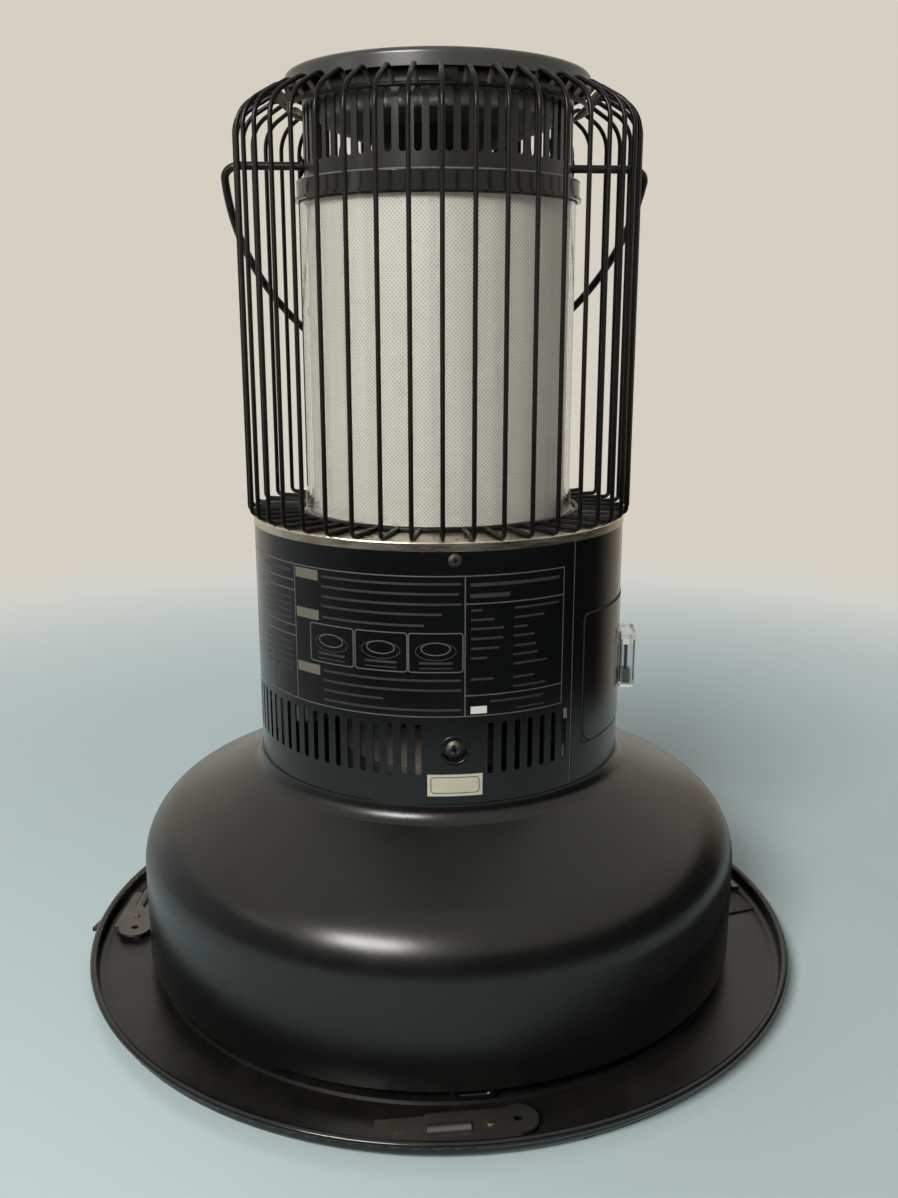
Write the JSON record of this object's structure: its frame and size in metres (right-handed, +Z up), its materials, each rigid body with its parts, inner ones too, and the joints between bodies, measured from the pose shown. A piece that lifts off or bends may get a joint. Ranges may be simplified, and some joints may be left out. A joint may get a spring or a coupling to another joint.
{
  "type": "paraffin heater",
  "caption": "Round free-standing paraffin heater: wick burner in a glass chimney inside a wire guard, on a domed tank in a drip tray, with a bail handle, battery ignition and a filler cap.",
  "frame": {"origin": "on the floor under the middle of the heater's box, within a few millimetres of its axis", "axes": "+Z up, +Y towards the heater's rear, where the casing has its slots, -Y towards the controls"},
  "size_m": [0.396, 0.388, 0.4576],
  "materials": {
    "tray_enamel": "satin black stoved paint",
    "foot_steel": "satin black paint",
    "clip_steel": "satin black paint with traces of rust",
    "rivet_brass": "dull brass",
    "tank_enamel": "satin black stoved paint",
    "plain_steel": "plain steel sheet",
    "casing_enamel": "semi-gloss black stoved paint",
    "deck_plating": "bright nickel plating",
    "control_plastic": "fine-grained black plastic",
    "lever_plastic": "black plastic",
    "stop_plastic": "red plastic",
    "cap_plastic": "black plastic with flutes",
    "seal_rubber": "soft black rubber",
    "gauge_clear": "clear plastic window",
    "float_plastic": "orange plastic",
    "wick_fabric": "woven glass and cotton",
    "shaft_brass": "turned brass",
    "screw_zinc": "zinc plated",
    "igniter_wire": "bright wire in a ceramic head",
    "battery_jacket": "plain grey cell jacket",
    "cover_enamel": "semi-gloss black plastic",
    "case_clear": "clear plastic",
    "spare_dark": "dark plastic base with steel leads",
    "burner_steel": "heat-stained steel",
    "screen_white": "white enamel with fine perforation",
    "chimney_glass": "clear heat-proof glass",
    "guard_enamel": "satin black paint on wire",
    "head_enamel": "satin black heat-proof paint",
    "plate_enamel": "satin dark grey heat-proof paint",
    "bail_steel": "dark plated wire"
  },
  "bodies": {
    "heater": {"drip_tray": "tray_enamel", "tray_feet": "foot_steel", "tray_clips": "clip_steel", "clip_plates": "clip_steel", "clip_rivets": "rivet_brass", "tank_legs": "plain_steel", "tank_base": "tank_enamel", "tank_shell": "tank_enamel", "draught_tube": "plain_steel", "wick_tube": "plain_steel", "filler_neck": "plain_steel", "gauge_body": "control_plastic", "gauge_window": "gauge_clear", "rear_casing": "casing_enamel", "front_casing": "casing_enamel", "casing_straps": "plain_steel", "casing_screws": "screw_zinc", "deck_plate": "deck_plating", "control_fascia": "control_plastic", "knob_bush": "shaft_brass", "lever_bracket": "plain_steel", "igniter_post": "plain_steel", "stop_guide": "plain_steel", "battery_box": "control_plastic", "battery_cells": "battery_jacket", "quake_bracket": "plain_steel", "guard_wires": "guard_enamel", "guard_base_ring": "guard_enamel", "guard_top_ring": "guard_enamel", "plate_brackets": "guard_enamel", "top_plate": "plate_enamel", "vent_head": "head_enamel", "vent_liner": "head_enamel", "bail_bushes": "plain_steel"},
    "bail": {"bail_handle": "bail_steel"},
    "knob": {"wick_knob": "control_plastic", "knob_shaft": "shaft_brass"},
    "wick_carrier": {"wick": "wick_fabric", "wick_holder": "plain_steel"},
    "lever": {"ignition_lever": "lever_plastic"},
    "igniter": {"igniter_arm": "plain_steel", "igniter_head": "igniter_wire"},
    "stop": {"stop_button": "stop_plastic"},
    "burner": {"burner_base": "burner_steel", "inner_flame_tube": "burner_steel", "outer_flame_tube": "burner_steel", "burner_pins": "burner_steel", "flame_cap": "burner_steel", "heat_screen": "screen_white", "glass_chimney": "chimney_glass", "burner_knob": "plain_steel"},
    "cap": {"filler_cap": "cap_plastic", "cap_seal": "seal_rubber"},
    "battery_door": {"battery_cover": "cover_enamel", "spare_case": "case_clear", "spare_igniter": "spare_dark"},
    "spare_lid": {"case_lid": "case_clear"},
    "quake": {"quake_weight": "plain_steel"},
    "float": {"gauge_float": "float_plastic"}
  },
  "joints": [
    {"name": "bail_swing", "type": "hinge", "parent": "heater", "child": "bail", "pos_m": [0, 0, 0.417], "axis": [-1, 0, 0], "range_deg": [0, 269]},
    {"name": "knob_turn", "type": "hinge", "parent": "heater", "child": "knob", "pos_m": [0, -0.0465, 0.165], "axis": [0, 1, 0], "range_deg": [0, 110]},
    {"name": "wick_lift", "type": "slide", "parent": "heater", "child": "wick_carrier", "axis": [0, 0, 1], "range_m": [0, 0.01199]},
    {"name": "lever_push", "type": "hinge", "parent": "heater", "child": "lever", "pos_m": [0.02809, -0.06954, 0.2], "axis": [0.9272, 0.3746, 0], "range_deg": [0, 20], "stiffness_Nm_per_rad": 0.08, "springref_deg": -11.46},
    {"name": "igniter_swing", "type": "hinge", "parent": "heater", "child": "igniter", "pos_m": [0.04388, -0.06856, 0.2417], "axis": [0, 0, -1], "range_deg": [0, 50]},
    {"name": "stop_push", "type": "slide", "parent": "heater", "child": "stop", "axis": [0.3746, 0.9272, 0], "range_m": [0, 0.005], "stiffness_N_per_m": 300, "springref_m": -0.003},
    {"name": "burner_turn", "type": "hinge", "parent": "heater", "child": "burner", "pos_m": [0, 0, 0.2488], "axis": [0, 0, 1], "range_deg": [-4.5, 4.5]},
    {"name": "cap_lift", "type": "slide", "parent": "heater", "child": "cap", "axis": [0, 0, 1], "range_m": [0, 0.045]},
    {"name": "battery_door_pull", "type": "slide", "parent": "heater", "child": "battery_door", "axis": [-0.9917, 0.1288, 0], "range_m": [0, 0.03]},
    {"name": "spare_lid_lift", "type": "slide", "parent": "battery_door", "child": "spare_lid", "axis": [0, 0, 1], "range_m": [0, 0.02]},
    {"name": "quake_swing", "type": "hinge", "parent": "heater", "child": "quake", "pos_m": [0.07048, 0.02565, 0.185], "axis": [0.9397, 0.342, 0], "range_deg": [-10, 10]},
    {"name": "float_rise", "type": "slide", "parent": "heater", "child": "float", "axis": [0, 0, 1], "range_m": [0, 0.03]}
  ],
  "couplings": [
    {"joint": "knob_turn", "follows": "wick_lift", "rad_per_m": 160},
    {"joint": "igniter_swing", "follows": "lever_push", "ratio": 2.5}
  ]
}
